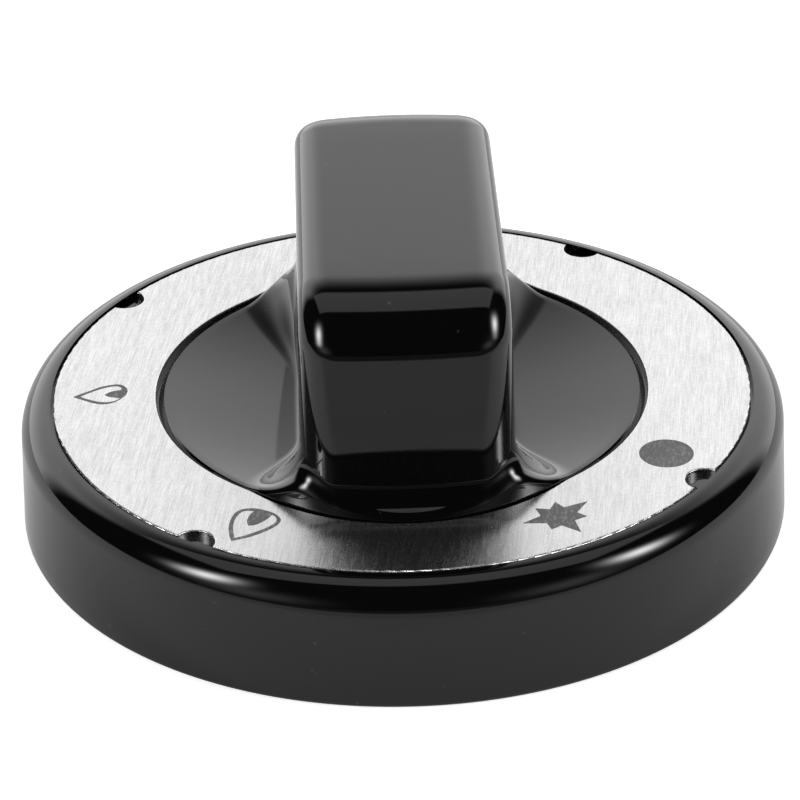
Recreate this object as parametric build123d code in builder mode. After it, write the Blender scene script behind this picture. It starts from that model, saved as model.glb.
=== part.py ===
import os
from math import radians, sqrt, tan

from build123d import *

os.makedirs("parts", exist_ok=True)

# Gas hob knob in millimetres. Z is the turning axis and points up out of the hob, the origin is
# the centre of the open base, and the grip bar runs along Y.

# Legend ring, a flat aluminium stamping with a longer opening along the grip bar
ring_radius = 27.1
ring_width = 7.95
ring_thickness = 0.6
ring_top = 9.9
ring_edge_round = 0.12
opening_bulge = 1.35
opening_end_offset = 5.0
opening_blend = 8.0
notch_count = 4
notch_radius = 1.5
notch_first_angle = 54.3

# Skirt and rolled rim of the moulding, with the seat that takes the ring
rim_gap = 0.2
rim_round = 2.4
skirt_base_radius = 30.0
skirt_wall = 2.2
skirt_base_round = 0.4
deck_thickness = 2.2
lug_radius = 1.05
lug_drop = 0.15

# Dished face inside the ring
dish_gap = 0.22
dish_step = 0.15
dish_depth = 0.95
dish_edge_round = 0.15
dish_edge_band = 1.0

# Grip bar, with soft edges and a flared foot
bar_top = 26.25
bar_end_inset = 2.3
bar_width = 15.4
bar_end_bow = 0.5
bar_draft = 1.0
bar_end_round = 4.1
bar_edge_round = 2.2
bar_foot_round = 3.0

# Hollow under the grip bar, on both sides of the spindle boss
pocket_wall = 2.5
pocket_roof = 2.7
pocket_corner = 1.5

# Spindle boss with its D socket, split so that the clip can squeeze it
spindle_diameter = 8.0
spindle_flat_height = 6.5
socket_clearance = 0.05
socket_depth = 15.0
socket_lead_in = 0.5
boss_wall = 2.2
boss_recess = 0.8
boss_slit = 1.2

# Spring clip round the boss
clip_thickness = 0.6
clip_width = 3.4
clip_opening = 60.0
clip_clearance = 0.05
clip_groove_depth = 0.3
clip_inset = 0.8

# Stiffening ribs between the boss and the skirt
rib_count = 4
rib_first_angle = 45.0
rib_thickness = 1.4
rib_height = 1.9
rib_root = 0.5

# Sizes that follow from those above
opening_radius = ring_radius - ring_width
opening_reach = opening_radius + opening_bulge
opening_end_radius = opening_reach - opening_end_offset
bar_length = 2 * (opening_reach - bar_end_inset)
ring_seat = ring_top - ring_thickness
rim_inner_radius = ring_radius + rim_gap
shoulder_radius = rim_inner_radius + rim_round
shoulder_height = ring_top - rim_round
deck_underside = ring_seat - deck_thickness
dish_edge_height = ring_top - dish_step
dish_radius = opening_radius - dish_gap
bowl_radius = (dish_radius**2 + dish_depth**2) / (2 * dish_depth)
dish_blank_radius = opening_reach + bar_foot_round
dish_blank_height = dish_edge_height - dish_depth + bowl_radius - sqrt(bowl_radius**2 - dish_blank_radius**2)
socket_radius = spindle_diameter / 2 + socket_clearance
socket_flat = spindle_flat_height - spindle_diameter / 2 + socket_clearance
boss_radius = socket_radius + boss_wall
clip_bottom = boss_recess + clip_inset
clip_inner_radius = boss_radius - clip_groove_depth + clip_clearance
pocket_top = bar_top - pocket_roof
rib_bottom = deck_underside - rib_height


def opening_outline(inset, mode=Mode.ADD):
    """Outline of the ring's opening, drawn smaller by the inset all round."""
    with BuildSketch(mode=Mode.PRIVATE) as outline:
        Circle(opening_radius - inset)
        with Locations((0, opening_end_offset), (0, -opening_end_offset)):
            Circle(opening_end_radius - inset)
        fillet(outline.vertices(), opening_blend)
    add(outline.sketch, mode=mode)


def is_dish_edge(edge):
    """True for an edge along the top of the dish's outer wall, which lies near the ring's top."""
    middle = edge.center()
    near_top = abs(middle.Z - ring_top) < dish_edge_band
    return near_top and Vector(middle.X, middle.Y).length > dish_radius - dish_edge_band


# Legend ring
with BuildPart() as legend_ring:
    with BuildSketch(Plane.XY.offset(ring_seat)):
        Circle(ring_radius)
        opening_outline(0, Mode.SUBTRACT)
        with PolarLocations(ring_radius, notch_count, start_angle=notch_first_angle):
            Circle(notch_radius, mode=Mode.SUBTRACT)
    extrude(amount=ring_thickness)
    fillet(legend_ring.faces().sort_by(Axis.Z)[-1].edges(), ring_edge_round)

# Grip bar with bowed ends, soft top ends and one soft edge run round each side
with BuildPart() as grip_bar:
    with BuildSketch(Plane.XY.offset(deck_underside)):
        with BuildLine():
            half_width = bar_width / 2
            half_length = bar_length / 2
            shoulder = half_length - bar_end_bow
            Line((half_width, -shoulder), (half_width, shoulder))
            ThreePointArc((half_width, shoulder), (0, half_length), (-half_width, shoulder))
            Line((-half_width, shoulder), (-half_width, -shoulder))
            ThreePointArc((-half_width, -shoulder), (0, -half_length), (half_width, -shoulder))
        make_face()
    extrude(amount=bar_top - deck_underside, taper=bar_draft)
    top_edges = grip_bar.faces().sort_by(Axis.Z)[-1].edges()
    fillet(top_edges.filter_by(GeomType.LINE, reverse=True), bar_end_round)
    top_face = grip_bar.faces().sort_by(Axis.Z)[-1]
    long_edges = top_face.edges().sort_by(Axis.X)
    fillet((long_edges[0], long_edges[-1]), bar_edge_round)

# Grip with its dish: the bar runs into a hollowed face, and both end at the opening's outline
with BuildPart() as grip:
    with BuildSketch(Plane.XZ):
        with BuildLine():
            Line((0, dish_edge_height - dish_depth), (0, deck_underside))
            Line((0, deck_underside), (dish_blank_radius, deck_underside))
            Line((dish_blank_radius, deck_underside), (dish_blank_radius, dish_blank_height))
            RadiusArc((dish_blank_radius, dish_blank_height), (0, dish_edge_height - dish_depth), bowl_radius)
        make_face()
    revolve(axis=Axis.Z)
    add(grip_bar.part)
    foot_edges = grip.edges(Select.NEW)
    fillet(foot_edges, bar_foot_round)
    with BuildSketch(Plane.XY.offset(deck_underside)):
        opening_outline(dish_gap)
    extrude(amount=bar_top, mode=Mode.INTERSECT)
    fillet(grip.edges().filter_by(is_dish_edge), dish_edge_round)

# Moulded body: drafted skirt, rolled rim and deck in one turned section
with BuildPart() as knob_body:
    with BuildSketch(Plane.XZ):
        with BuildLine():
            inner_base = skirt_base_radius - skirt_wall
            inner_top = shoulder_radius - skirt_wall
            Line((inner_base, 0), (skirt_base_radius, 0))
            Line((skirt_base_radius, 0), (shoulder_radius, shoulder_height))
            CenterArc((rim_inner_radius, shoulder_height), rim_round, 0, 90)
            Line((rim_inner_radius, ring_top), (rim_inner_radius, ring_seat))
            Line((rim_inner_radius, ring_seat), (0, ring_seat))
            Line((0, ring_seat), (0, deck_underside))
            Line((0, deck_underside), (inner_top, deck_underside))
            Line((inner_top, deck_underside), (inner_base, 0))
        make_face()
    revolve(axis=Axis.Z)
    base_edges = knob_body.faces().sort_by(Axis.Z)[0].edges()
    fillet(base_edges, skirt_base_round)

    # Cut the deck out under the grip, then set the grip in
    with BuildSketch(Plane.XY.offset(deck_underside)):
        opening_outline(dish_gap)
    extrude(amount=ring_thickness + deck_thickness, mode=Mode.SUBTRACT)
    add(grip.part)

    # Four lugs on the rim that stand in the notches of the ring
    with BuildSketch(Plane.XY.offset(ring_seat)):
        with PolarLocations(ring_radius, notch_count, start_angle=notch_first_angle):
            Circle(lug_radius)
        Circle(rim_inner_radius + rim_gap, mode=Mode.INTERSECT)
    extrude(amount=ring_thickness - lug_drop)

    # Hollow inside the bar
    with BuildSketch(Plane.XY.offset(deck_underside)):
        RectangleRounded(bar_width - 2 * pocket_wall, bar_length - 2 * pocket_wall, pocket_corner)
    extrude(amount=pocket_top - deck_underside, taper=bar_draft, mode=Mode.SUBTRACT)

    # Spindle boss up to the roof of the hollow
    with BuildSketch(Plane.XY.offset(boss_recess)):
        Circle(boss_radius)
    extrude(amount=pocket_top - boss_recess)

    # D socket with a lead-in, the boss slits and the groove for the clip
    with BuildSketch(Plane.XY.offset(boss_recess)):
        with BuildLine():
            socket_chord = sqrt(socket_radius**2 - socket_flat**2)
            Line((socket_flat, -socket_chord), (socket_flat, socket_chord))
            ThreePointArc((socket_flat, socket_chord), (-socket_radius, 0), (socket_flat, -socket_chord))
        make_face()
    extrude(amount=socket_depth, mode=Mode.SUBTRACT)
    boss_face = knob_body.faces().filter_by(Axis.Z).group_by(Axis.Z)[1][0]
    chamfer(boss_face.inner_wires()[0].edges(), socket_lead_in)
    with BuildSketch(Plane.XY.offset(boss_recess)):
        Rectangle(boss_slit, 2 * boss_radius)
    extrude(amount=rib_bottom - boss_recess, mode=Mode.SUBTRACT)
    with BuildSketch(Plane.XY.offset(clip_bottom - clip_clearance)):
        Circle(boss_radius)
        Circle(boss_radius - clip_groove_depth, mode=Mode.SUBTRACT)
    extrude(amount=clip_width + 2 * clip_clearance, mode=Mode.SUBTRACT)

    # Radial ribs on the underside of the deck
    with BuildSketch(Plane.XY.offset(rib_bottom)):
        rib_inner = boss_radius - rib_root
        rib_outer = shoulder_radius - skirt_wall + rib_root
        with PolarLocations((rib_inner + rib_outer) / 2, rib_count, start_angle=rib_first_angle):
            Rectangle(rib_outer - rib_inner, rib_thickness)
    extrude(amount=rib_height)

# Spring clip, a C of flat strip round the split boss
with BuildPart() as spindle_clip:
    with BuildSketch(Plane.XY.offset(clip_bottom)):
        Circle(clip_inner_radius + clip_thickness)
        Circle(clip_inner_radius, mode=Mode.SUBTRACT)
        with BuildLine():
            reach = 2 * boss_radius
            spread = reach * tan(radians(clip_opening / 2))
            Polyline((0, 0), (-reach, spread), (-reach, -spread), close=True)
        make_face(mode=Mode.SUBTRACT)
    extrude(amount=clip_width)

knob_body.part.label = "knob_body"
legend_ring.part.label = "legend_ring"
spindle_clip.part.label = "spindle_clip"
export_step(knob_body.part, "parts/knob_body.step")
export_step(legend_ring.part, "parts/legend_ring.step")
export_step(spindle_clip.part, "parts/spindle_clip.step")
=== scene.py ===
from math import cos, pi, radians, sin, sqrt

import bmesh
import bpy
from mathutils import Matrix, Vector


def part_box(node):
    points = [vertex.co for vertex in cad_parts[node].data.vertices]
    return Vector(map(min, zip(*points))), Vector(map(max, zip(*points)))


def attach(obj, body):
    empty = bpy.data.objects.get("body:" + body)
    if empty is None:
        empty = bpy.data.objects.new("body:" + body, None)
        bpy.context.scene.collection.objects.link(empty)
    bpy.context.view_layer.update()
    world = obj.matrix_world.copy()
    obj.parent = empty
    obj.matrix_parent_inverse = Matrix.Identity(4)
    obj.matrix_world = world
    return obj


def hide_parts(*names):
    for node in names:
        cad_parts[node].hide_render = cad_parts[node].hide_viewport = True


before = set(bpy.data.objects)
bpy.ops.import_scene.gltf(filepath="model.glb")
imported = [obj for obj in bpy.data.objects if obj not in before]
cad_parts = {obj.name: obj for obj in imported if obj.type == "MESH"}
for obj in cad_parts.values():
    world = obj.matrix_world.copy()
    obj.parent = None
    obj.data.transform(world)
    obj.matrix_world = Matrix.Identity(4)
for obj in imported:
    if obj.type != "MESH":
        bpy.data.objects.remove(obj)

# Gas hob knob. Everything is in metres in the frame's own axes: Z is the turning axis, the grip
# bar runs along Y and the knob stands on the floor at Z = 0.
MM = 0.001
scene = bpy.context.scene
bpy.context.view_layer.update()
ring_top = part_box("legend_ring")[1][2]


# Small helpers for the nodes of a material or of the world, which is called their owner
def emptied(owner):
    owner.use_nodes = True
    owner.node_tree.nodes.clear()
    return owner


def new_material(name):
    return emptied(bpy.data.materials.new(name))


def add_node(owner, kind, **settings):
    node = owner.node_tree.nodes.new(kind)
    for key, value in settings.items():
        setattr(node, key, value)
    return node


def link(owner, source, target):
    owner.node_tree.links.new(source, target)


def dress(obj, material):
    obj.data.materials.clear()
    obj.data.materials.append(material)


def stretched_noise(material, scale, detail, stretch=(1, 1, 1), turn=0.0):
    """Noise in object space, turned about Z and drawn out by the stretch along each axis."""
    place = add_node(material, "ShaderNodeTexCoord")
    turned = add_node(material, "ShaderNodeMapping")
    turned.inputs["Rotation"].default_value = (0, 0, turn)
    mapping = add_node(material, "ShaderNodeMapping")
    mapping.inputs["Scale"].default_value = stretch
    noise = add_node(material, "ShaderNodeTexNoise")
    noise.inputs["Scale"].default_value = scale
    noise.inputs["Detail"].default_value = detail
    link(material, place.outputs["Object"], turned.inputs["Vector"])
    link(material, turned.outputs["Vector"], mapping.inputs["Vector"])
    link(material, mapping.outputs["Vector"], noise.inputs["Vector"])
    return noise.outputs["Fac"]


def ranged(owner, value, span, results, interpolation="LINEAR"):
    """The value carried from one span to another, and held at the ends."""
    node = add_node(owner, "ShaderNodeMapRange", interpolation_type=interpolation)
    node.inputs["From Min"].default_value, node.inputs["From Max"].default_value = span
    node.inputs["To Min"].default_value, node.inputs["To Max"].default_value = results
    link(owner, value, node.inputs["Value"])
    return node.outputs["Result"]


def maths(owner, operation, first, second=0.0):
    node = add_node(owner, "ShaderNodeMath", operation=operation)
    for socket, value in zip(node.inputs, (first, second)):
        if isinstance(value, float):
            socket.default_value = value
        else:
            link(owner, value, socket)
    return node.outputs[0]


def grey(material, level, target):
    """A level from 0 to 1, sent to a colour socket as a neutral grey."""
    tone = add_node(material, "ShaderNodeCombineColor")
    for socket in tone.inputs:
        link(material, level, socket)
    link(material, tone.outputs["Color"], target)


def finished(material, shader):
    output = add_node(material, "ShaderNodeOutputMaterial")
    link(material, shader.outputs["BSDF"], output.inputs["Surface"])
    return material


# Direction of the brushing on the ring, a little aslant from Y, which the wear of its print shares
BRUSHING_TURN = radians(8)
NOISE_MIDDLE = (0.3, 0.7)


# Gloss black plastic, with a faint unevenness in its polish and a little fine dust
def gloss_plastic():
    dust_onset = (0.74, 0.80)
    black_to_dust = (0.003, 0.05)
    polish = (0.04, 0.075)
    material = new_material("gloss_plastic")
    shader = add_node(material, "ShaderNodeBsdfPrincipled")
    dust = stretched_noise(material, scale=1400.0, detail=2.0)
    grey(material, ranged(material, dust, dust_onset, black_to_dust), shader.inputs["Base Color"])
    shader.inputs["IOR"].default_value = 1.5
    cloud = stretched_noise(material, scale=90.0, detail=3.0)
    link(material, ranged(material, cloud, NOISE_MIDDLE, polish), shader.inputs["Roughness"])
    return finished(material, shader)


# Brushed aluminium of the legend ring: fine and broad streaks that run front to back, with specks
def brushed_aluminium():
    streak_share, broad_share, speck_share = 0.5, 0.25, 0.25
    grain_contrast = (0.38, 0.62)
    metal_tone = (0.50, 0.665)
    metal_roughness = (0.21, 0.31)
    material = new_material("brushed_aluminium")
    shader = add_node(material, "ShaderNodeBsdfPrincipled")
    shader.inputs["Metallic"].default_value = 0.97
    shader.inputs["Anisotropic"].default_value = 0.9
    streak = stretched_noise(material, 9000.0, 2.0, (1, 0.05, 1), BRUSHING_TURN)
    broad = stretched_noise(material, 2600.0, 2.0, (1, 0.06, 1), BRUSHING_TURN)
    speck = stretched_noise(material, scale=3600.0, detail=4.0)
    streaks = maths(material, "MULTIPLY", streak, streak_share)
    bands = maths(material, "MULTIPLY", broad, broad_share)
    specks = maths(material, "MULTIPLY", speck, speck_share)
    grain = maths(material, "ADD", maths(material, "ADD", streaks, bands), specks)
    link(material, ranged(material, grain, NOISE_MIDDLE, metal_roughness), shader.inputs["Roughness"])
    grey(material, ranged(material, grain, grain_contrast, metal_tone), shader.inputs["Base Color"])
    # The brushing runs along Y, so it spreads a reflection sideways
    side = add_node(material, "ShaderNodeCombineXYZ")
    side.inputs["X"].default_value = 1.0
    link(material, side.outputs["Vector"], shader.inputs["Tangent"])
    return finished(material, shader)


# Spring steel of the clip
def spring_steel():
    steel_roughness = (0.3, 0.5)
    material = new_material("spring_steel")
    shader = add_node(material, "ShaderNodeBsdfPrincipled")
    shader.inputs["Metallic"].default_value = 1.0
    shader.inputs["Base Color"].default_value = (0.42, 0.42, 0.44, 1)
    streak = stretched_noise(material, 3000.0, 2.0, (1, 1, 0.1))
    link(material, ranged(material, streak, NOISE_MIDDLE, steel_roughness), shader.inputs["Roughness"])
    return finished(material, shader)


# Grey printing ink, with specks where it has worn thin
def grey_ink():
    wear_onset = (0.50, 0.76)
    ink_to_worn = (0.105, 0.30)
    material = new_material("grey_ink")
    shader = add_node(material, "ShaderNodeBsdfPrincipled")
    wear = stretched_noise(material, 5200.0, 3.0, (1, 0.4, 1), BRUSHING_TURN)
    grey(material, ranged(material, wear, wear_onset, ink_to_worn), shader.inputs["Base Color"])
    shader.inputs["Roughness"].default_value = 0.45
    return finished(material, shader)


dress(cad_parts["legend_ring"], brushed_aluminium())
dress(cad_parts["spindle_clip"], spring_steel())


# Knob body as seen: the CAD body's underside and hollows, with its outer skin modelled finer here.
# The skin is made of a turned skirt and rim, a dished face, a grip bar and four lugs. Its sizes
# are in millimetres.

# Skirt, rolled rim and the seat of the ring
BASE_RADIUS = 29.97
BASE_ROUND = 0.4
SKIRT_ROW_HEIGHTS = (1.5, 3.0, 4.5, 6.0, 7.0)
RIM_INNER_RADIUS = 27.3
RIM_ROUND = 2.4
RIM_TOP = 9.9
SEAT_HEIGHT = 9.3
SEAT_ROW_RADIUS = 24.0

# Lugs on the rim that stand in the notches of the ring
LUG_COUNT = 4
LUG_FIRST_ANGLE = 54.3
LUG_CENTRE_RADIUS = 27.1
LUG_RADIUS = 0.8
LUG_TOP = 9.4

# Opening of the ring: a round middle and two round ends set along the bar, blended where they meet
OPENING_RADIUS = 19.15
OPENING_END_RADIUS = 15.5
OPENING_END_OFFSET = 5.0
OPENING_BLEND = 0.02

# Dished face, whose edge hangs down past the seat and covers the seat's own inner edge
DISH_GAP = 0.22
DISH_COVER = 0.1
DISH_HANG = 0.4
DISH_EDGE_HEIGHT = 9.8
DISH_EDGE_ROUND = 0.5
DISH_DEPTH = 2.1

# Grip bar. A draft is the lean of a wall, and a bow is how far an end stands out at its middle. It
# grows over the bow's run, measured from the axis.
BAR_TOP = 26.25
BAR_FOOT = 6.9
BAR_HALF_WIDTH = 8.05
BAR_HALF_LENGTH = 18.75
BAR_DRAFT = 0.0175
BACK_DRAFT = -0.0035
FRONT_BOW = 0.5
BACK_BOW = 0.9
BOW_RUN = (6.0, 14.0)
CORNER_ROUND = 2.8

# Top of the bar: its long edges are fuller than an arc. The round over each end starts at a crease
# in the wall, and eases into an arc that would pass the bar's length by an overhang.
EDGE_ROUND = 2.2
EDGE_POWER = 3
END_ROUND = 5.9
CREASE = radians(31)
FRONT_OVERHANG = 0.3
BACK_OVERHANG = 0.8

# Foot of the bar, where it runs into the dish. A run is where a round starts to grow and where it
# is full, out from the bar's middle.
FOOT_SIDE_ROUND = 0.35
FOOT_END_ROUND = 2.6
FOOT_FLARE_ROUND = 4.8
FOOT_FLARE_RUN = (5.5, 8.5)
FOOT_FRONT_RUN = (5.0, 15.5)
FOOT_BACK_RUN = (4.0, 16.0)

# How the dish meets the bar: the height at which its wall is met first, to find the foot's top, how
# far the dish's rows run up the wall, and how clear of it they stay
FOOT_PROBE_HEIGHT = 11.0
WALL_LAP = 2.0
WALL_CLEARANCE = 0.004

# Bounds between the CAD body's outer skin and its underside and hollows
SKIN_INNER_RADIUS = 29.2
SKIN_BOTTOM = 7.6
HOLLOW_HALF_WIDTH = 5.5
HOLLOW_HALF_LENGTH = 16.2
HOLLOW_TOP = 24.0

SHARP_ANGLE = radians(40)


def smooth_step(value, low, high):
    t = min(max((value - low) / (high - low), 0.0), 1.0)
    return t * t * (3 - 2 * t)


def round_turns(steps):
    """Angles of equal steps, once round."""
    return [2 * pi * step / steps for step in range(steps)]


def opening_reach(angle, inset):
    """Distance from the axis to the opening's outline, drawn smaller by the inset all round."""
    middle = OPENING_RADIUS - inset
    lobe = (OPENING_END_RADIUS - inset) ** 2 - (OPENING_END_OFFSET * cos(angle)) ** 2
    end = OPENING_END_OFFSET * abs(sin(angle)) + sqrt(lobe)
    return (middle + end + sqrt((middle - end) ** 2 + OPENING_BLEND)) / 2


def stitched(shape, rows, closed):
    """Quads between each row of points and the next one."""
    made = [[shape.verts.new((x * MM, y * MM, z * MM)) for x, y, z in row] for row in rows]
    for lower, upper in zip(made, made[1:]):
        for index in range(0 if closed else 1, len(lower)):
            shape.faces.new((lower[index - 1], lower[index], upper[index], upper[index - 1]))
    return made


def add_turned_skin(shape, steps=288, base_step=15, rim_step=5):
    """Skirt, rolled rim and the seat of the ring, ending under the edge of the dish."""
    shoulder = RIM_TOP - RIM_ROUND
    lean = (BASE_RADIUS - RIM_INNER_RADIUS - RIM_ROUND) / (shoulder - BASE_ROUND)
    profile = []
    for turn in range(0, 91, base_step):
        out, down = BASE_ROUND * sin(radians(turn)), BASE_ROUND * cos(radians(turn))
        profile.append((BASE_RADIUS - BASE_ROUND + out, BASE_ROUND - down))
    profile += [(BASE_RADIUS - lean * (height - BASE_ROUND), height) for height in SKIRT_ROW_HEIGHTS]
    for turn in range(0, 91, rim_step):
        out, up = RIM_ROUND * cos(radians(turn)), RIM_ROUND * sin(radians(turn))
        profile.append((RIM_INNER_RADIUS + out, shoulder + up))
    profile.append((RIM_INNER_RADIUS, (RIM_TOP + SEAT_HEIGHT) / 2))
    profile.append((RIM_INNER_RADIUS, SEAT_HEIGHT))
    profile.append((SEAT_ROW_RADIUS, SEAT_HEIGHT))
    angles = round_turns(steps)
    rows = [[(r * cos(a), r * sin(a), z) for a in angles] for r, z in profile]
    inner = [(opening_reach(a, DISH_GAP + DISH_COVER), a) for a in angles]
    rows.append([(r * cos(a), r * sin(a), SEAT_HEIGHT) for r, a in inner])
    stitched(shape, rows, True)


def bar_distance(x, y, z):
    """Distance in plan from the bar's wall at one height, negative inside it."""
    draft, bow = (BACK_DRAFT, BACK_BOW) if y > 0 else (BAR_DRAFT, FRONT_BOW)
    width = BAR_HALF_WIDTH - BAR_DRAFT * (z - BAR_FOOT)
    length = BAR_HALF_LENGTH - draft * (z - BAR_FOOT) - bow * min(1.0, (x / width) ** 2)
    side, end = abs(x) - width + CORNER_ROUND, abs(y) - length + CORNER_ROUND
    return sqrt(max(side, 0.0) ** 2 + max(end, 0.0) ** 2) + min(max(side, end), 0.0) - CORNER_ROUND


def wall_reach(angle, z, halvings=22):
    """Distance from the axis to the bar's wall at one height."""
    low, high = 0.0, OPENING_RADIUS + 1.0
    for _ in range(halvings):
        middle = (low + high) / 2
        if bar_distance(middle * cos(angle), middle * sin(angle), z) < 0:
            low = middle
        else:
            high = middle
    return low


def foot_round(x, y):
    """Radius of the foot: wide at the bar's corners, less over its ends and tight along its sides."""
    flare = max(smooth_step(-y, *FOOT_FRONT_RUN), smooth_step(y, *FOOT_BACK_RUN))
    widest = FOOT_END_ROUND + (FOOT_FLARE_ROUND - FOOT_END_ROUND) * smooth_step(abs(x), *FOOT_FLARE_RUN)
    return FOOT_SIDE_ROUND + (widest - FOOT_SIDE_ROUND) * flare


def bowl_height(x, y):
    """Height of the dished face alone, a shallow part of a sphere."""
    dish_radius = OPENING_RADIUS - DISH_GAP
    bowl_radius = (dish_radius**2 + DISH_DEPTH**2) / (2 * DISH_DEPTH)
    return DISH_EDGE_HEIGHT - DISH_DEPTH + bowl_radius - sqrt(bowl_radius**2 - x * x - y * y)


def dish_height(x, y, from_wall, from_edge):
    """Height of the face, with the bar's foot rising at its inside and its edge rounded down."""
    foot = foot_round(x, y)
    away = foot - min(max(from_wall, 0.0), foot)
    rim = DISH_EDGE_ROUND - min(from_edge, DISH_EDGE_ROUND)
    rise = foot - sqrt(foot * foot - away * away)
    drop = DISH_EDGE_ROUND - sqrt(DISH_EDGE_ROUND**2 - rim * rim)
    return bowl_height(x, y) + rise - drop


def add_dish(shape, steps=720, wall_rows=3, rows_out=36, row_ease=0.6):
    """Dished face between the bar and the opening, running up into the bar's foot and wall."""
    rows = [[] for _ in range(wall_rows + rows_out + 2)]
    for angle in round_turns(steps):
        across, along = cos(angle), sin(angle)
        wall = wall_reach(angle, FOOT_PROBE_HEIGHT)
        x, y = wall * across, wall * along
        foot_top = bowl_height(x, y) + foot_round(x, y)
        for index in range(wall_rows):
            z = foot_top + WALL_LAP - index * WALL_LAP / wall_rows
            r = wall_reach(angle, z) + WALL_CLEARANCE
            rows[index].append((r * across, r * along, z))
        wall = wall_reach(angle, foot_top) + WALL_CLEARANCE
        reach = opening_reach(angle, DISH_GAP)
        # The rows lie close together at the foot and farther apart towards the edge
        for index in range(rows_out + 1):
            share = index / rows_out
            r = wall + (reach - wall) * share * share * (1 + row_ease - row_ease * share)
            x, y = r * across, r * along
            z = dish_height(x, y, bar_distance(x, y, foot_top), reach - r)
            rows[wall_rows + index].append((x, y, z))
        rows[-1].append((x, y, SEAT_HEIGHT - DISH_HANG))
    stitched(shape, rows, True)


def bar_half(turn, draft, overhang, wall_steps=5, crease_steps=8, round_steps=16, top_steps=4):
    """One end of the bar's profile at one turn of its long edges, from the foot to the middle."""
    reach_y = CORNER_ROUND * cos(turn)
    reach_z = EDGE_ROUND * (1 - sin(turn) ** EDGE_POWER) ** (1 / EDGE_POWER)
    core_round = END_ROUND - EDGE_ROUND
    arc_y = BAR_HALF_LENGTH + overhang - CORNER_ROUND - core_round
    arc_z = BAR_TOP - EDGE_ROUND - core_round
    crease_z = arc_z + core_round * sin(CREASE)
    half = []
    for step in range(wall_steps + 1):
        z = BAR_FOOT + (crease_z - BAR_FOOT) * step / wall_steps
        half.append((BAR_HALF_LENGTH - CORNER_ROUND - draft * (z - BAR_FOOT) + reach_y, z))
    wall_y = BAR_HALF_LENGTH - CORNER_ROUND - draft * (crease_z - BAR_FOOT)
    for step in range(1, crease_steps + 1):
        lean = CREASE * step / crease_steps
        half.append((wall_y + reach_y * cos(lean), crease_z + reach_z * sin(lean)))
    join = wall_y - arc_y - core_round * cos(CREASE)
    for step in range(1, round_steps + 1):
        lean = CREASE + (pi / 2 - CREASE) * step / round_steps
        y = arc_y + join * (1 - step / round_steps) + (core_round + reach_y) * cos(lean)
        half.append((y, arc_z + (core_round + reach_z) * sin(lean)))
    y, z = half[-1]
    return half + [(y * (1 - step / top_steps), z) for step in range(1, top_steps)]


def bar_section(turn):
    """Front-to-back profile of the bar, from foot to foot."""
    front = bar_half(turn, BAR_DRAFT, FRONT_OVERHANG)
    back = bar_half(turn, BACK_DRAFT, BACK_OVERHANG)
    return [(-y, z) for y, z in front] + [(0.0, front[-1][1])] + [(y, z) for y, z in reversed(back)]


def close_side(shape, column, order, steps=10):
    """One side of the bar, in rows from its front to its back. The order turns its faces outward."""
    count = len(column) // 2
    grid = []
    for front, back in zip(column[:count], reversed(column)):
        between = [shape.verts.new(front.co.lerp(back.co, step / steps)) for step in range(1, steps)]
        grid.append([front] + between + [back])
    for lower, upper in zip(grid, grid[1:]):
        for index in range(steps):
            corners = (lower[index], lower[index + 1], upper[index + 1], upper[index])
            shape.faces.new(corners[::order])
    shape.faces.new((grid[-1] + [column[count]])[::order])


def add_bar(shape, edge_step=3, flat_steps=6):
    """Grip bar: profiles set side by side, rounded over its long edges, and closed by its sides."""
    flat = BAR_HALF_WIDTH - CORNER_ROUND
    turns = [radians(turn) for turn in range(edge_step, 91, edge_step)]
    columns = [(-flat - CORNER_ROUND * sin(turn), turn) for turn in reversed(turns)]
    columns += [(flat * step / flat_steps, 0.0) for step in range(-flat_steps, flat_steps + 1)]
    columns += [(flat + CORNER_ROUND * sin(turn), turn) for turn in turns]
    rows = []
    for x, turn in columns:
        bow = (x / BAR_HALF_WIDTH) ** 2
        row = []
        for y, z in bar_section(turn):
            narrow = 1 - BAR_DRAFT * (z - BAR_FOOT) / BAR_HALF_WIDTH
            ends = smooth_step(abs(y), *BOW_RUN) * bow * (BACK_BOW if y > 0 else FRONT_BOW)
            row.append((x * narrow, y - ends if y > 0 else y + ends, z))
        rows.append(row)
    made = stitched(shape, rows, False)
    close_side(shape, made[0], 1)
    close_side(shape, made[-1], -1)


def add_lugs(shape, steps=24):
    """Low round lugs on the seat, each with a flat top."""
    for index in range(LUG_COUNT):
        angle = radians(LUG_FIRST_ANGLE + 360 / LUG_COUNT * index)
        x, y = LUG_CENTRE_RADIUS * cos(angle), LUG_CENTRE_RADIUS * sin(angle)
        edge = [(x + LUG_RADIUS * cos(a), y + LUG_RADIUS * sin(a)) for a in round_turns(steps)]
        rows = [[(x, y, z) for x, y in edge] for z in (SEAT_HEIGHT, LUG_TOP)]
        shape.faces.new(stitched(shape, rows, True)[1])


def is_outer(place):
    """Whether a point of the CAD body lies on the skin that is modelled here."""
    x, y, z = (value / MM for value in place)
    in_hollow = abs(x) < HOLLOW_HALF_WIDTH and abs(y) < HOLLOW_HALF_LENGTH and z < HOLLOW_TOP
    return x * x + y * y > SKIN_INNER_RADIUS**2 or (z > SKIN_BOTTOM and not in_hollow)


def outer_skin():
    """The new skin alone, smooth but for its sharp edges."""
    shape = bmesh.new()
    for add_part in (add_turned_skin, add_dish, add_bar, add_lugs):
        add_part(shape)
    for face in shape.faces:
        face.smooth = True
    mesh = bpy.data.meshes.new("outer_skin")
    shape.to_mesh(mesh)
    shape.free()
    mesh.set_sharp_from_angle(angle=SHARP_ANGLE)
    return mesh


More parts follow.
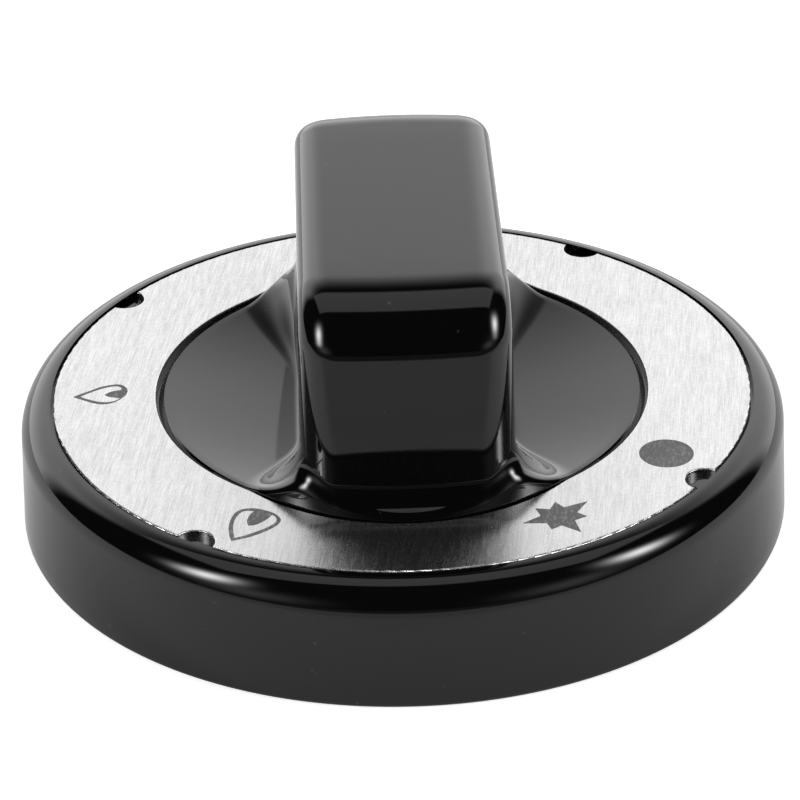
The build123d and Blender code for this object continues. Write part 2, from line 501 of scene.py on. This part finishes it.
def knob_body_form():
    """Stands for the CAD body: a copy of it, with the new skin in place of its own."""
    shape = bmesh.new()
    shape.from_mesh(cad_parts["knob_body"].data)
    old_skin = [face for face in shape.faces if all(is_outer(corner.co) for corner in face.verts)]
    bmesh.ops.delete(shape, geom=old_skin, context="FACES")
    new_skin = outer_skin()
    shape.from_mesh(new_skin)
    bpy.data.meshes.remove(new_skin)
    mesh = bpy.data.meshes.new("knob_body_form")
    shape.to_mesh(mesh)
    shape.free()
    form = bpy.data.objects.new("knob_body_form", mesh)
    scene.collection.objects.link(form)
    dress(form, gloss_plastic())
    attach(form, "root")
    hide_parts("knob_body")


knob_body_form()


# Signs printed on the ring, each drawn about its own centre in millimetres, with the first axis
# pointing outward from the knob's axis and the second one anticlockwise round it
ink = grey_ink()
INK_LIFT = 0.01 * MM


def smooth_run(points, steps):
    """Points along a smooth curve through the given ones, without the last one."""
    run = []
    for index in range(len(points) - 1):
        start, end = Vector(points[index]), Vector(points[index + 1])
        before = Vector(points[index - 1]) if index else start
        after = Vector(points[index + 2]) if index + 2 < len(points) else end
        for step in range(steps):
            t = step / steps
            bend = (end - before) * t + (2 * before - 5 * start + 4 * end - after) * t**2
            bend += (3 * start - before - 3 * end + after) * t**3
            run.append(start + bend / 2)
    return run


def loop_through(runs, steps=6):
    """A closed outline from smooth runs, each led on to the start of the next one as a corner."""
    outline = []
    for index, run in enumerate(runs):
        corner = runs[(index + 1) % len(runs)][0]
        outline += smooth_run(list(run) + [corner], steps)
    return outline


def print_sign(name, centre_radius, angle, outlines):
    """A flat field of ink on the ring, bounded by one outline and with the others left bare."""
    outward = Vector((cos(radians(angle)), sin(radians(angle)), 0))
    around = Vector((-outward.y, outward.x, 0))
    shape = bmesh.new()
    for outline in outlines:
        corners = []
        for along, across in outline:
            place = outward * (centre_radius + along) + around * across
            corners.append(shape.verts.new((place.x * MM, place.y * MM, ring_top + INK_LIFT)))
        for index, corner in enumerate(corners):
            shape.edges.new((corners[index - 1], corner))
    bmesh.ops.triangle_fill(shape, edges=shape.edges[:], use_beauty=True, normal=(0, 0, 1))
    mesh = bpy.data.meshes.new(name)
    shape.to_mesh(mesh)
    shape.free()
    sign = bpy.data.objects.new(name, mesh)
    scene.collection.objects.link(sign)
    dress(sign, ink)
    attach(sign, "root")


# Off dot
OFF_RADIUS = 2.05
off_dot = [(OFF_RADIUS * cos(radians(turn)), OFF_RADIUS * sin(radians(turn))) for turn in range(0, 360, 5)]
print_sign("print_off_dot", centre_radius=22.83, angle=328.6, outlines=[off_dot])

# Spark star, with seven uneven points
spark = [
    (2.84, 0.40), (1.31, -0.30), (1.39, -1.23), (0.46, -1.09), (-0.41, -2.61), (-0.61, -0.94),
    (-1.72, -0.74), (-1.05, 0.11), (-1.73, 1.00), (-0.74, 1.13), (-0.57, 3.07), (0.35, 1.58),
    (1.18, 1.92), (1.20, 0.86),
]
print_sign("print_spark", centre_radius=22.9, angle=297.5, outlines=[spark])

# Large flame: the line of a drop with its point outward, and a smaller filled drop at its round end
large_outer = loop_through([[
    (2.42, 0.34), (1.81, -0.20), (0.89, -0.82), (-0.01, -1.22), (-0.92, -1.44), (-1.52, -1.34),
    (-1.94, -0.99), (-2.25, -0.40), (-2.34, 0.23), (-2.34, 0.83), (-2.18, 1.44), (-1.88, 1.92),
    (-1.65, 2.09), (-1.24, 2.19), (-0.65, 2.12), (0.00, 1.92), (0.81, 1.56), (1.50, 1.13), (2.10, 0.65),
]])
large_inner = loop_through([
    [
        (1.98, 0.36), (1.20, -0.23), (0.31, -0.76), (-0.49, -1.04), (-1.26, -1.09), (-1.63, -0.89),
        (-1.88, -0.35),
    ],
    [(-1.88, -0.35), (-1.33, -0.35), (-0.70, -0.18), (-0.33, 0.00)],
    [(0.04, 0.34), (-0.21, 0.68), (-0.75, 0.95), (-1.37, 1.08)],
    [
        (-2.04, 1.10), (-1.94, 1.42), (-1.63, 1.74), (-1.24, 1.89), (-0.73, 1.81), (-0.10, 1.60),
        (0.67, 1.22), (1.40, 0.81),
    ],
])
print_sign("print_large_flame", centre_radius=23.3, angle=238.5, outlines=[large_outer, large_inner])

# Small flame, drawn in the same way
small_outer = loop_through([[
    (2.07, 0.29), (1.47, -0.14), (0.72, -0.65), (-0.04, -1.16), (-0.81, -1.42), (-1.35, -1.47),
    (-1.75, -1.28), (-2.04, -0.87), (-2.14, -0.39), (-2.04, 0.16), (-1.75, 0.69), (-1.31, 1.21),
    (-0.70, 1.53), (-0.08, 1.56), (0.63, 1.25), (1.43, 0.72),
]])
small_inner = loop_through([
    [
        (1.53, 0.25), (0.93, -0.19), (0.18, -0.72), (-0.59, -1.09), (-1.21, -1.21), (-1.57, -1.02),
        (-1.66, -0.73),
    ],
    [(-1.59, -0.55), (-1.08, -0.45), (-0.70, -0.24)],
    [(-0.37, 0.10), (-0.73, 0.44), (-1.20, 0.58)],
    [(-1.60, 0.73), (-1.30, 1.06), (-0.77, 1.26), (-0.07, 1.21), (0.65, 0.88), (1.20, 0.55)],
])
print_sign("print_small_flame", centre_radius=23.5, angle=179.6, outlines=[small_outer, small_inner])


# Floor, white to the eye and bright in the gloss, that still keeps the knob's shadow
FLOOR_HALF = 3.0
FLOOR_TO_EYE = 0.75
FLOOR_TO_GLOSS = 0.24
# In front of the knob the floor, in the gloss only, loses its glow and then turns dark: painted shade
GLOSS_GLOW_FADE = (-41 * MM, -48 * MM)
GLOSS_DARKENING_FADE = (-66 * MM, -74 * MM)


def stage_floor():
    corners = [(x * FLOOR_HALF, y * FLOOR_HALF, 0) for x, y in ((-1, -1), (1, -1), (1, 1), (-1, 1))]
    mesh = bpy.data.meshes.new("floor")
    mesh.from_pydata(corners, [], [(0, 1, 2, 3)])
    floor = bpy.data.objects.new("floor", mesh)
    scene.collection.objects.link(floor)
    material = new_material("floor_white")
    path = add_node(material, "ShaderNodeLightPath")
    place = add_node(material, "ShaderNodeTexCoord")
    axes = add_node(material, "ShaderNodeSeparateXYZ")
    link(material, place.outputs["Object"], axes.inputs["Vector"])

    diffuse = add_node(material, "ShaderNodeBsdfDiffuse")
    diffuse.inputs["Color"].default_value = (0.8, 0.8, 0.8, 1)
    glow = add_node(material, "ShaderNodeEmission")
    near = ranged(material, axes.outputs["Y"], GLOSS_GLOW_FADE, (FLOOR_TO_GLOSS, 0.0))
    to_eye = maths(material, "MULTIPLY", path.outputs["Is Camera Ray"], FLOOR_TO_EYE)
    to_gloss = maths(material, "MULTIPLY", path.outputs["Is Glossy Ray"], near)
    link(material, maths(material, "ADD", to_eye, to_gloss), glow.inputs["Strength"])
    both = add_node(material, "ShaderNodeAddShader")
    link(material, diffuse.outputs["BSDF"], both.inputs[0])
    link(material, glow.outputs["Emission"], both.inputs[1])

    # Seen in the gloss only, the floor turns dark grey in front of the knob: a painted dark reflection
    beyond = ranged(material, axes.outputs["Y"], GLOSS_DARKENING_FADE, (0.0, 1.0))
    dark = add_node(material, "ShaderNodeBsdfDiffuse")
    dark.inputs["Color"].default_value = (0.12, 0.12, 0.12, 1)
    shown = add_node(material, "ShaderNodeMixShader")
    link(material, maths(material, "MULTIPLY", path.outputs["Is Glossy Ray"], beyond), shown.inputs["Fac"])
    link(material, both.outputs["Shader"], shown.inputs[1])
    link(material, dark.outputs["BSDF"], shown.inputs[2])
    output = add_node(material, "ShaderNodeOutputMaterial")
    link(material, shown.outputs["Shader"], output.inputs["Surface"])
    dress(floor, material)


stage_floor()


# World: a white backdrop behind the knob, a ceiling panel, a soft light at each side of the camera
# and a dim fill in front, in a dark studio. Azimuth is measured from straight behind the knob. A
# fade is where a light starts to weaken and where it is gone, and a bell is a centre and a spread.
# All are angles but the panel's side fade, which is a share of the view's length.
BACKDROP_AZIMUTH_FADE = (radians(48), radians(64))
BACKDROP_ELEVATION_FADE = (radians(30), radians(60))
BACKDROP_LEVEL = 1.18
HORIZON_FADE = (radians(8), radians(26))
HORIZON_LEVEL = 0.34
CENTRE_FADE = (radians(1), radians(14))
FLANK_LEVEL = 0.5
PANEL_FRONT_FADE = (radians(85), radians(87))
PANEL_BACK_FADE = (radians(114), radians(118))
PANEL_SIDE_FADE = (0.48, 0.55)
PANEL_LEVEL = 0.75
SIDE_LIGHT_SHIFT = radians(5)
SIDE_LIGHT_AZIMUTH_BELL = (radians(111), radians(8))
SIDE_LIGHT_ELEVATION_BELL = (radians(32), radians(10))
SIDE_LIGHT_LEVEL = 18.0
FILL_AZIMUTH_BELL = (radians(134), radians(16))
FILL_ELEVATION_BELL = (radians(14), radians(13))
FILL_LEVEL = 0.65
BELL_BASE = 2.718
ROOM_LEVEL = 0.008


def studio_world():
    world = emptied(bpy.data.worlds.new("studio"))

    def calc(operation, first, second=0.0):
        return maths(world, operation, first, second)

    def until(value, fade):
        """1 before the fade and 0 after it."""
        return ranged(world, value, fade, (1.0, 0.0), "SMOOTHSTEP")

    def bell(value, centre, spread):
        offset = calc("DIVIDE", calc("SUBTRACT", value, centre), spread)
        return calc("MULTIPLY", offset, offset)

    def soft_light(bearing, azimuth_bell, elevation_bell, level):
        """A round light without an edge, at full level in its centre."""
        offset = calc("ADD", bell(bearing, *azimuth_bell), bell(elevation, *elevation_bell))
        return calc("MULTIPLY", calc("POWER", BELL_BASE, calc("MULTIPLY", offset, -1.0)), level)

    place = add_node(world, "ShaderNodeTexCoord")
    split = add_node(world, "ShaderNodeSeparateXYZ")
    link(world, place.outputs["Generated"], split.inputs["Vector"])
    across, back, up = split.outputs[0], split.outputs[1], split.outputs[2]
    turned = calc("ARCTAN2", across, back)
    azimuth = calc("ABSOLUTE", turned)
    elevation = calc("ARCSINE", up)

    # Backdrop, brighter towards the floor and to both sides of its centre
    low = until(elevation, BACKDROP_ELEVATION_FADE)
    field = calc("MULTIPLY", until(azimuth, BACKDROP_AZIMUTH_FADE), low)
    horizon = calc("MULTIPLY", until(elevation, HORIZON_FADE), HORIZON_LEVEL)
    flank = calc("MULTIPLY", calc("SUBTRACT", 1.0, until(azimuth, CENTRE_FADE)), FLANK_LEVEL)
    backdrop = calc("MULTIPLY", field, calc("ADD", flank, calc("ADD", horizon, BACKDROP_LEVEL)))

    # Ceiling panel, bounded by the lean of the view from front to back and by its two sides
    lean = calc("ARCTAN2", up, calc("MULTIPLY", back, -1.0))
    past_front = calc("SUBTRACT", 1.0, until(lean, PANEL_FRONT_FADE))
    length = calc("MULTIPLY", past_front, until(lean, PANEL_BACK_FADE))
    width = until(calc("ABSOLUTE", across), PANEL_SIDE_FADE)
    panel = calc("MULTIPLY", length, calc("MULTIPLY", width, PANEL_LEVEL))

    # Side lights, and the fill that the metal shows when it is seen from behind
    beside = calc("ABSOLUTE", calc("ADD", turned, SIDE_LIGHT_SHIFT))
    side = soft_light(beside, SIDE_LIGHT_AZIMUTH_BELL, SIDE_LIGHT_ELEVATION_BELL, SIDE_LIGHT_LEVEL)
    fill = soft_light(azimuth, FILL_AZIMUTH_BELL, FILL_ELEVATION_BELL, FILL_LEVEL)
    level = calc("ADD", calc("ADD", backdrop, panel), calc("ADD", calc("ADD", side, fill), ROOM_LEVEL))

    # The eye itself sees plain white beyond the floor
    glow = add_node(world, "ShaderNodeBackground")
    glow.inputs["Color"].default_value = (1, 1, 1, 1)
    link(world, level, glow.inputs["Strength"])
    white = add_node(world, "ShaderNodeBackground")
    white.inputs["Color"].default_value = (1, 1, 1, 1)
    path = add_node(world, "ShaderNodeLightPath")
    mix = add_node(world, "ShaderNodeMixShader")
    link(world, path.outputs["Is Camera Ray"], mix.inputs["Fac"])
    link(world, glow.outputs["Background"], mix.inputs[1])
    link(world, white.outputs["Background"], mix.inputs[2])
    output = add_node(world, "ShaderNodeOutputWorld")
    link(world, mix.outputs["Shader"], output.inputs["Surface"])
    scene.world = world


studio_world()

# Camera, fitted to the photo by the rim, the ring and the edge of the dish
camera_data = bpy.data.cameras.new("camera")
camera_data.sensor_width = 36.0
camera_data.lens = 161.1
camera_data.clip_start = 0.01
camera = bpy.data.objects.new("camera", camera_data)
camera_place = Vector((-5.67, -242.80, 146.95)) * MM
camera_yaw = radians(-1.3)
camera_tilt = radians(60.32)
camera_roll = radians(-1.378)
camera.matrix_world = (
    Matrix.Translation(camera_place)
    @ Matrix.Rotation(camera_yaw, 4, "Z")
    @ Matrix.Rotation(camera_tilt, 4, "X")
    @ Matrix.Rotation(camera_roll, 4, "Z")
)
scene.collection.objects.link(camera)
scene.camera = camera

scene.view_settings.view_transform = "Standard"
